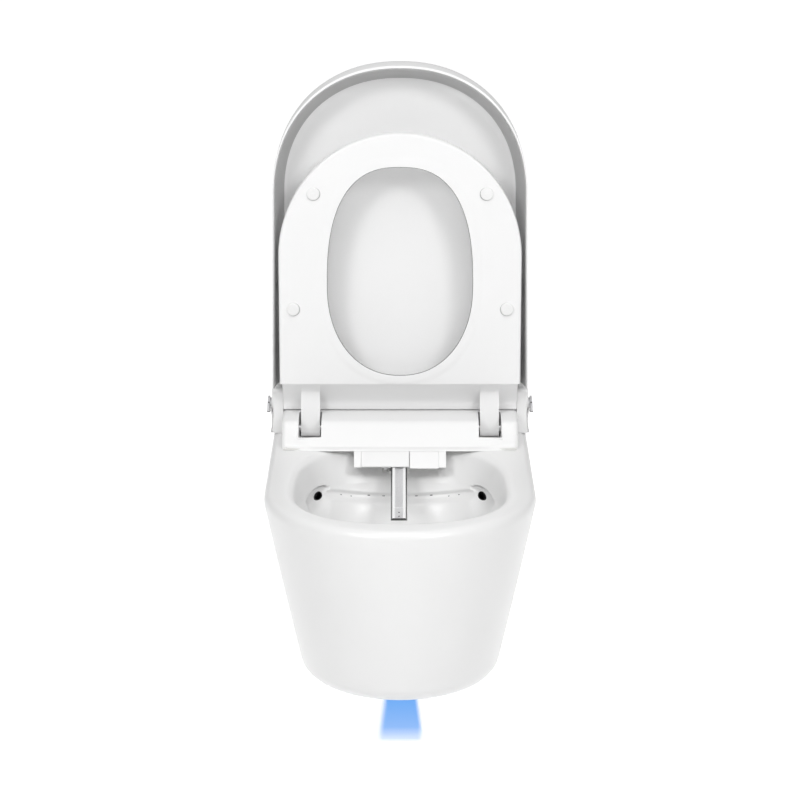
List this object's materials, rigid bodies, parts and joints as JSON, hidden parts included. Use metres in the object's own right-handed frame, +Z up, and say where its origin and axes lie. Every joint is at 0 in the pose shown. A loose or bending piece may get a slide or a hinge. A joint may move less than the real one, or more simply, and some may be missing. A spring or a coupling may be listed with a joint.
{
  "type": "electric bidet seat",
  "caption": "Wall-hung toilet with an electric bidet seat: rounded ceramic bowl, low white housing, raised lid and seat, spray wand, dryer and side knobs.",
  "frame": {"origin": "on the finished wall, midway between the two fixing studs", "axes": "+X to the right seen from the front, -Y out of the wall to the front of the bowl, +Z up"},
  "size_m": [0.4118, 0.5893, 0.8337],
  "materials": {
    "ceramic": "gloss",
    "housing_white": "gloss",
    "lid_white": "gloss",
    "seat_white": "satin",
    "base_plastic": "satin",
    "nylon": "satin",
    "black_plastic": "matte",
    "bumper": "matte",
    "rubber": "matte",
    "pad_foam": "matte",
    "steel": "brushed",
    "wand_steel": "satin",
    "motor_metal": "satin",
    "chrome": "polished",
    "brass": "polished",
    "heater_foil": "satin",
    "circuit": "satin",
    "lens": "clear"
  },
  "bodies": {
    "bowl_and_housing": {"ceramic_bowl": "ceramic", "wall_pad": "pad_foam", "stud_bushes": "nylon", "flush_seal": "rubber", "water_inlet": "brass", "feed_tube": "nylon", "power_gland": "black_plastic", "foot_lamp_body": "black_plastic", "foot_lamp_lens": "lens", "housing_base": "base_plastic", "deck_bolts": "steel", "housing_cover": "housing_white", "cover_screws": "steel", "port_frame": "housing_white", "flap_pin": "steel", "wand_guide": "base_plastic", "screw_motor": "motor_metal", "heater_tank": "base_plastic", "heater_cover": "black_plastic", "inlet_valve": "black_plastic", "water_pump": "motor_metal", "flow_selector": "nylon", "spray_hose": "nylon", "blower_case": "black_plastic", "blower_lid": "black_plastic", "blower_motor": "motor_metal", "dryer_duct": "base_plastic", "dryer_heater": "heater_foil", "deodoriser": "base_plastic", "control_board": "circuit", "power_module": "black_plastic", "seat_damper": "black_plastic", "seat_drive": "black_plastic", "lid_damper": "black_plastic", "lid_drive": "black_plastic", "knob_bezels": "chrome", "knob_encoders": "black_plastic"},
    "lid": {"lid_shell": "lid_white", "lid_liner": "lid_white", "lid_bumpers": "bumper", "lid_pins": "steel"},
    "seat": {"seat_base": "seat_white", "seat_top": "seat_white", "seat_heater": "heater_foil", "seat_bumpers": "bumper", "seat_shafts": "steel"},
    "wand": {"nozzle_wand": "wand_steel", "nozzle_head": "wand_steel", "screw_nut": "nylon"},
    "drive_screw": {"drive_screw": "steel"},
    "nozzle_flap": {"nozzle_flap": "housing_white"},
    "dryer_flap": {"dryer_flap": "housing_white"},
    "impeller": {"blower_impeller": "nylon"},
    "spindle_right": {"knob_spindle_right": "steel"},
    "knob_right": {"knob_cap_right": "chrome"},
    "spindle_left": {"knob_spindle_left": "steel"},
    "knob_left": {"knob_cap_left": "chrome"}
  },
  "joints": [
    {"name": "lid_hinge", "type": "hinge", "parent": "bowl_and_housing", "child": "lid", "pos_m": [0, -0.085, 0.14], "axis": [1, 0, 0], "range_deg": [0, 92]},
    {"name": "seat_hinge", "type": "hinge", "parent": "bowl_and_housing", "child": "seat", "pos_m": [0, -0.127, 0.096], "axis": [1, 0, 0], "range_deg": [0, 91.01]},
    {"name": "wand_slide", "type": "slide", "parent": "bowl_and_housing", "child": "wand", "axis": [0, 0.9511, 0.309], "range_m": [0, 0.128]},
    {"name": "screw_turn", "type": "hinge", "parent": "bowl_and_housing", "child": "drive_screw", "pos_m": [-0.0215, -0.16101, 0.06869], "axis": [0, 0.9511, 0.309], "continuous": true},
    {"name": "nozzle_flap_hinge", "type": "hinge", "parent": "bowl_and_housing", "child": "nozzle_flap", "pos_m": [0, -0.1975, 0.0778], "axis": [-1, 0, 0], "range_deg": [0, 27]},
    {"name": "dryer_flap_hinge", "type": "hinge", "parent": "bowl_and_housing", "child": "dryer_flap", "pos_m": [0, -0.1975, 0.0778], "axis": [-1, 0, 0], "range_deg": [0, 35]},
    {"name": "impeller_turn", "type": "hinge", "parent": "bowl_and_housing", "child": "impeller", "pos_m": [0.072, -0.0882, 0.1], "axis": [0, 0, 1], "continuous": true},
    {"name": "knob_right_turn", "type": "hinge", "parent": "bowl_and_housing", "child": "spindle_right", "pos_m": [0.19, -0.072, 0.119], "axis": [1, 0, 0], "range_deg": [-40, 40]},
    {"name": "knob_right_push", "type": "slide", "parent": "spindle_right", "child": "knob_right", "axis": [-1, 0, 0], "range_m": [0, 0.002], "stiffness_N_per_m": 1500},
    {"name": "knob_left_turn", "type": "hinge", "parent": "bowl_and_housing", "child": "spindle_left", "pos_m": [-0.19, -0.072, 0.119], "axis": [-1, 0, 0], "range_deg": [-40, 40]},
    {"name": "knob_left_push", "type": "slide", "parent": "spindle_left", "child": "knob_left", "axis": [1, 0, 0], "range_m": [0, 0.002], "stiffness_N_per_m": 1500}
  ],
  "couplings": [
    {"joint": "seat_hinge", "follows": "lid_hinge", "ratio": 0.98913},
    {"joint": "screw_turn", "follows": "wand_slide", "rad_per_m": 785.4}
  ]
}
